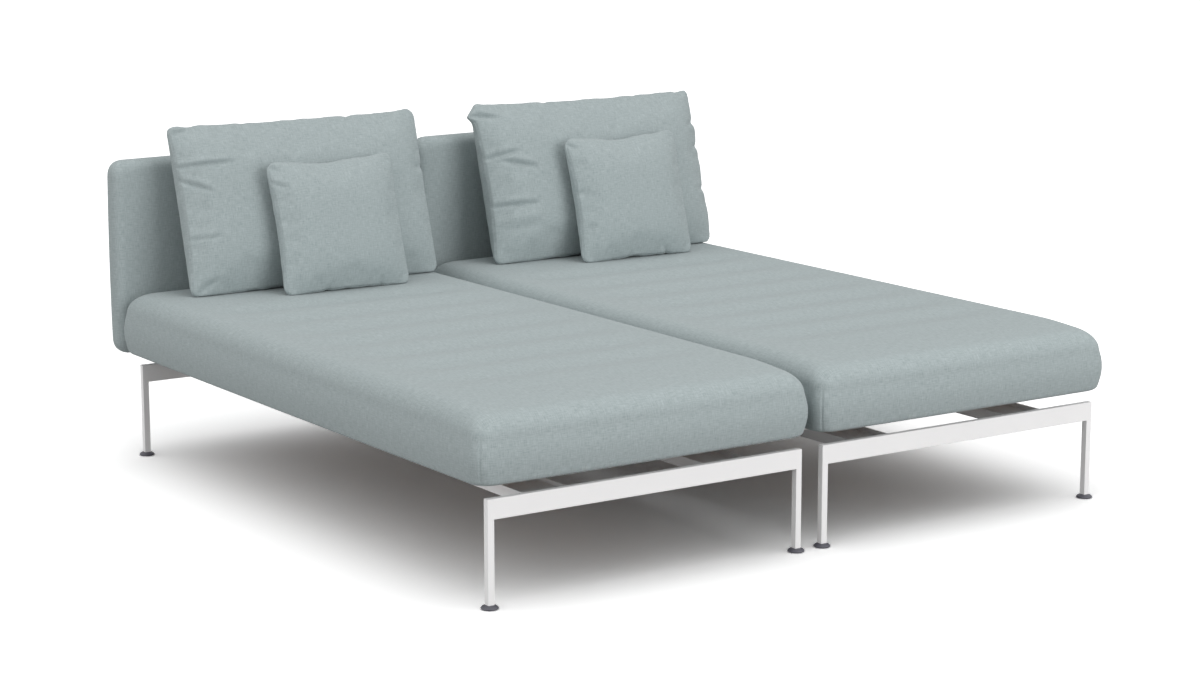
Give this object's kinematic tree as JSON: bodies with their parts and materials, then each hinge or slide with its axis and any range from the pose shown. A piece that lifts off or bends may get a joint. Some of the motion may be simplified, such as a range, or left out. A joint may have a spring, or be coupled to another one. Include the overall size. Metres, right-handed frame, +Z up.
{
  "type": "double chaise lounger",
  "caption": "Patio chaise lounger for two: side by side mattresses on slatted decks, slim square leg frames, levelling glides, padded backs and loose pillows.",
  "frame": {"origin": "on the floor, under the middle of the whole lounger's footprint", "axes": "+X to the right seen from the foot end, +Y from the foot end to the padded backs, +Z up"},
  "size_m": [1.728, 1.7724, 0.8193],
  "materials": {
    "frame_paint": "fine matt powder coat on steel",
    "glide_plastic": "dark grey moulded nylon",
    "slat_wood": "oiled hardwood",
    "board_wood": "plain plywood",
    "bolt_steel": "stainless steel",
    "upholstery_fabric": "woven outdoor upholstery in grey green"
  },
  "bodies": {
    "frame": {"foot_link_plate": "frame_paint", "head_link_plate": "frame_paint", "left_back_board": "board_wood", "left_back_bolts": "bolt_steel", "left_back_screws": "bolt_steel", "left_beam_bolts": "bolt_steel", "left_cross_bars": "frame_paint", "left_deck_screws": "bolt_steel", "left_foot_inner_leg": "frame_paint", "left_foot_outer_leg": "frame_paint", "left_foot_rail": "frame_paint", "left_head_inner_leg": "frame_paint", "left_head_outer_leg": "frame_paint", "left_head_rail": "frame_paint", "left_inner_beam": "frame_paint", "left_inner_upright": "frame_paint", "left_outer_beam": "frame_paint", "left_outer_upright": "frame_paint", "left_padded_back": "upholstery_fabric", "left_seat_slats": "slat_wood", "link_bolts": "bolt_steel", "link_nuts": "bolt_steel", "right_back_board": "board_wood", "right_back_bolts": "bolt_steel", "right_back_screws": "bolt_steel", "right_beam_bolts": "bolt_steel", "right_cross_bars": "frame_paint", "right_deck_screws": "bolt_steel", "right_foot_inner_leg": "frame_paint", "right_foot_outer_leg": "frame_paint", "right_foot_rail": "frame_paint", "right_head_inner_leg": "frame_paint", "right_head_outer_leg": "frame_paint", "right_head_rail": "frame_paint", "right_inner_beam": "frame_paint", "right_inner_upright": "frame_paint", "right_outer_beam": "frame_paint", "right_outer_upright": "frame_paint", "right_padded_back": "upholstery_fabric", "right_seat_slats": "slat_wood"},
    "left_big_pillow_body": {"left_big_pillow": "upholstery_fabric"},
    "left_foot_inner_glide_body": {"left_foot_inner_glide": "glide_plastic"},
    "left_foot_outer_glide_body": {"left_foot_outer_glide": "glide_plastic"},
    "left_head_inner_glide_body": {"left_head_inner_glide": "glide_plastic"},
    "left_head_outer_glide_body": {"left_head_outer_glide": "glide_plastic"},
    "left_mattress_body": {"left_mattress": "upholstery_fabric"},
    "left_small_pillow_body": {"left_small_pillow": "upholstery_fabric"},
    "right_big_pillow_body": {"right_big_pillow": "upholstery_fabric"},
    "right_foot_inner_glide_body": {"right_foot_inner_glide": "glide_plastic"},
    "right_foot_outer_glide_body": {"right_foot_outer_glide": "glide_plastic"},
    "right_head_inner_glide_body": {"right_head_inner_glide": "glide_plastic"},
    "right_head_outer_glide_body": {"right_head_outer_glide": "glide_plastic"},
    "right_mattress_body": {"right_mattress": "upholstery_fabric"},
    "right_small_pillow_body": {"right_small_pillow": "upholstery_fabric"}
  },
  "joints": [
    {"name": "left_foot_inner_glide_screw_out", "type": "slide", "parent": "frame", "child": "left_foot_inner_glide_body", "axis": [0, 0, -1], "range_m": [0, 0.012]},
    {"name": "left_foot_outer_glide_screw_out", "type": "slide", "parent": "frame", "child": "left_foot_outer_glide_body", "axis": [0, 0, -1], "range_m": [0, 0.012]},
    {"name": "left_head_inner_glide_screw_out", "type": "slide", "parent": "frame", "child": "left_head_inner_glide_body", "axis": [0, 0, -1], "range_m": [0, 0.012]},
    {"name": "left_head_outer_glide_screw_out", "type": "slide", "parent": "frame", "child": "left_head_outer_glide_body", "axis": [0, 0, -1], "range_m": [0, 0.012]},
    {"name": "right_foot_inner_glide_screw_out", "type": "slide", "parent": "frame", "child": "right_foot_inner_glide_body", "axis": [0, 0, -1], "range_m": [0, 0.012]},
    {"name": "right_foot_outer_glide_screw_out", "type": "slide", "parent": "frame", "child": "right_foot_outer_glide_body", "axis": [0, 0, -1], "range_m": [0, 0.012]},
    {"name": "right_head_inner_glide_screw_out", "type": "slide", "parent": "frame", "child": "right_head_inner_glide_body", "axis": [0, 0, -1], "range_m": [0, 0.012]},
    {"name": "right_head_outer_glide_screw_out", "type": "slide", "parent": "frame", "child": "right_head_outer_glide_body", "axis": [0, 0, -1], "range_m": [0, 0.012]},
    {"name": "left_mattress_lift", "type": "slide", "parent": "frame", "child": "left_mattress_body", "axis": [0, 0, 1], "range_m": [0, 0.2]},
    {"name": "left_big_pillow_lift", "type": "slide", "parent": "left_mattress_body", "child": "left_big_pillow_body", "axis": [0, 0, 1], "range_m": [0, 0.3]},
    {"name": "left_small_pillow_lift", "type": "slide", "parent": "left_big_pillow_body", "child": "left_small_pillow_body", "axis": [0, -0.7071, 0.7071], "range_m": [0, 0.2]},
    {"name": "right_mattress_lift", "type": "slide", "parent": "frame", "child": "right_mattress_body", "axis": [0, 0, 1], "range_m": [0, 0.2]},
    {"name": "right_big_pillow_lift", "type": "slide", "parent": "right_mattress_body", "child": "right_big_pillow_body", "axis": [0, 0, 1], "range_m": [0, 0.3]},
    {"name": "right_small_pillow_lift", "type": "slide", "parent": "right_big_pillow_body", "child": "right_small_pillow_body", "axis": [0, -0.7071, 0.7071], "range_m": [0, 0.2]}
  ]
}
